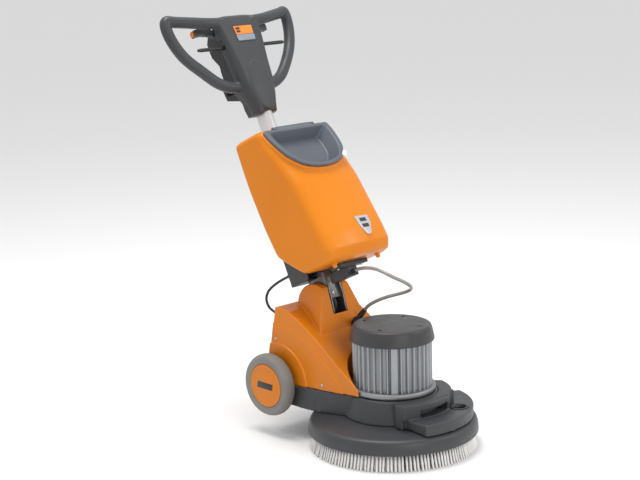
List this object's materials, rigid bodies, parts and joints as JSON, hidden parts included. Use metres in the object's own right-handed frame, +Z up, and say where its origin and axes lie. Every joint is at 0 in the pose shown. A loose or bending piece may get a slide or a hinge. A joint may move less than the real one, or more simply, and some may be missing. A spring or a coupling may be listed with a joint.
{
  "type": "rotary floor machine",
  "caption": "Single-disc floor scrubbing machine: round brush deck with an upright motor, a wheeled chassis and a tilting handle that carries a solution tank and a two-handed grip.",
  "frame": {"origin": "centre of the footprint, on the floor that the brush stands on", "axes": "+Z up, -Y the front with the brush deck, +Y the rear where the operator stands, +X the machine's left as seen from the front"},
  "size_m": [0.4588, 0.8412, 1.0855],
  "materials": {
    "grey_plastic": "fine grained dark grey moulding",
    "cap_plastic": "smooth dark grey moulding",
    "lid_plastic": "satin blue-grey moulding",
    "orange_plastic": "satin orange moulding",
    "black_plastic": "matte black moulding",
    "grey_rubber": "non-marking grey rubber",
    "bristle": "pale nylon bristle tufts",
    "cast_aluminium": "die cast",
    "bright_aluminium": "polished and anodised",
    "steel": "rolled",
    "zinc_steel": "zinc plated",
    "gear_steel": "cut and oiled",
    "brass": "turned",
    "winding": "enamelled copper winding on laminations",
    "hose_tube": "smooth translucent grey tube",
    "cable_jacket": "black rubber sheath"
  },
  "bodies": {
    "chassis": {"deck_hood": "grey_plastic", "deck_cover": "grey_plastic", "front_grip": "grey_plastic", "port_ring": "black_plastic", "motor_housing": "cast_aluminium", "motor_flange": "cast_aluminium", "motor_cap": "cap_plastic", "stator": "winding", "upper_bearing": "steel", "lower_bearing": "steel", "brush_bearing": "steel", "ring_gear": "gear_steel", "chassis_shell": "orange_plastic", "pivot_frame": "steel", "pivot_pin": "zinc_steel", "lock_sector": "steel", "start_capacitor": "grey_plastic", "hose_fitting": "black_plastic", "cable_gland_shell": "black_plastic", "axle": "zinc_steel", "water_hose": "hose_tube", "power_cable": "cable_jacket"},
    "brush": {"planet_carrier": "cast_aluminium", "brush_hub": "black_plastic", "brush_block": "black_plastic", "bristles": "bristle"},
    "planet_1": {"planet_gear_1": "gear_steel"},
    "planet_2": {"planet_gear_2": "gear_steel"},
    "planet_3": {"planet_gear_3": "gear_steel"},
    "rotor": {"rotor_shaft": "steel", "rotor_core": "steel", "cooling_fan": "black_plastic", "sun_gear": "gear_steel"},
    "wheel_left": {"tyre_left": "grey_rubber", "wheel_hub_left": "grey_plastic", "wheel_bush_left": "brass", "hub_cap_left": "orange_plastic"},
    "wheel_right": {"tyre_right": "grey_rubber", "wheel_hub_right": "grey_plastic", "wheel_bush_right": "brass", "hub_cap_right": "orange_plastic"},
    "handle": {"neck_bracket": "steel", "handle_tube": "bright_aluminium", "bracket_box": "grey_plastic", "cable_gland_box": "black_plastic", "lock_spring": "steel", "solution_tank": "orange_plastic", "solution_valve": "black_plastic", "hinge_rod": "steel", "handle_head": "grey_plastic", "head_rear_cover": "black_plastic", "switch_box": "black_plastic", "cable_hook": "black_plastic"},
    "lid": {"tank_lid": "lid_plastic"},
    "lock": {"lock_rod": "zinc_steel"},
    "lever": {"tilt_lever": "black_plastic"},
    "trigger_left": {"trigger_left": "grey_plastic"},
    "trigger_right": {"trigger_right": "grey_plastic"},
    "safety_button": {"safety_button": "orange_plastic"}
  },
  "joints": [
    {"name": "brush_spin", "type": "hinge", "parent": "chassis", "child": "brush", "pos_m": [0, -0.20263, 0.06], "axis": [0, 0, 1], "continuous": true},
    {"name": "planet_spin_1", "type": "hinge", "parent": "brush", "child": "planet_1", "pos_m": [0.04125, -0.20263, 0.11], "axis": [0, 0, 1], "continuous": true},
    {"name": "planet_spin_2", "type": "hinge", "parent": "brush", "child": "planet_2", "pos_m": [-0.02063, -0.16691, 0.11], "axis": [0, 0, 1], "continuous": true},
    {"name": "planet_spin_3", "type": "hinge", "parent": "brush", "child": "planet_3", "pos_m": [-0.02063, -0.23836, 0.11], "axis": [0, 0, 1], "continuous": true},
    {"name": "rotor_spin", "type": "hinge", "parent": "chassis", "child": "rotor", "pos_m": [0, -0.20263, 0.22], "axis": [0, 0, 1], "continuous": true},
    {"name": "wheel_left_spin", "type": "hinge", "parent": "chassis", "child": "wheel_left", "pos_m": [-0.153, 0.09437, 0.135], "axis": [1, 0, 0], "continuous": true},
    {"name": "wheel_right_spin", "type": "hinge", "parent": "chassis", "child": "wheel_right", "pos_m": [0.153, 0.09437, 0.135], "axis": [1, 0, 0], "continuous": true},
    {"name": "handle_tilt", "type": "hinge", "parent": "chassis", "child": "handle", "pos_m": [0, 0.02537, 0.333], "axis": [-1, 0, 0], "range_deg": [-25, 22], "deforming": ["water_hose", "power_cable"]},
    {"name": "lid_hinge", "type": "hinge", "parent": "handle", "child": "lid", "pos_m": [0, 0.14278, 0.79419], "axis": [-1, 0, 0], "range_deg": [0, 110]},
    {"name": "lever_hinge", "type": "hinge", "parent": "handle", "child": "lever", "pos_m": [0, 0.35878, 0.96755], "axis": [-1, 0, 0], "range_deg": [0, 18], "stiffness_Nm_per_rad": 1, "springref_deg": -20.05},
    {"name": "lock_slide", "type": "slide", "parent": "handle", "child": "lock", "axis": [0, 0.4226, 0.9063], "range_m": [0, 0.01], "deforming": ["lock_spring"]},
    {"name": "trigger_left_hinge", "type": "hinge", "parent": "handle", "child": "trigger_left", "pos_m": [-0.06, 0.368, 1.0228], "axis": [0, 0.9063, -0.4226], "range_deg": [0, 6], "stiffness_Nm_per_rad": 0.6, "springref_deg": -17.19},
    {"name": "trigger_right_hinge", "type": "hinge", "parent": "handle", "child": "trigger_right", "pos_m": [0.06, 0.368, 1.0228], "axis": [0, -0.9063, 0.4226], "range_deg": [0, 6], "stiffness_Nm_per_rad": 0.6, "springref_deg": -17.19},
    {"name": "safety_button_slide", "type": "slide", "parent": "trigger_left", "child": "safety_button", "axis": [1, 0, 0], "range_m": [0, 0.004], "stiffness_N_per_m": 200, "springref_m": -0.003}
  ],
  "couplings": [
    {"joint": "planet_spin_1", "follows": "brush_spin", "ratio": -2.4286},
    {"joint": "planet_spin_2", "follows": "brush_spin", "ratio": -2.4286},
    {"joint": "planet_spin_3", "follows": "brush_spin", "ratio": -2.4286},
    {"joint": "rotor_spin", "follows": "brush_spin", "ratio": 6.6667},
    {"joint": "lock_slide", "follows": "lever_hinge", "m_per_rad": 0.0318}
  ]
}
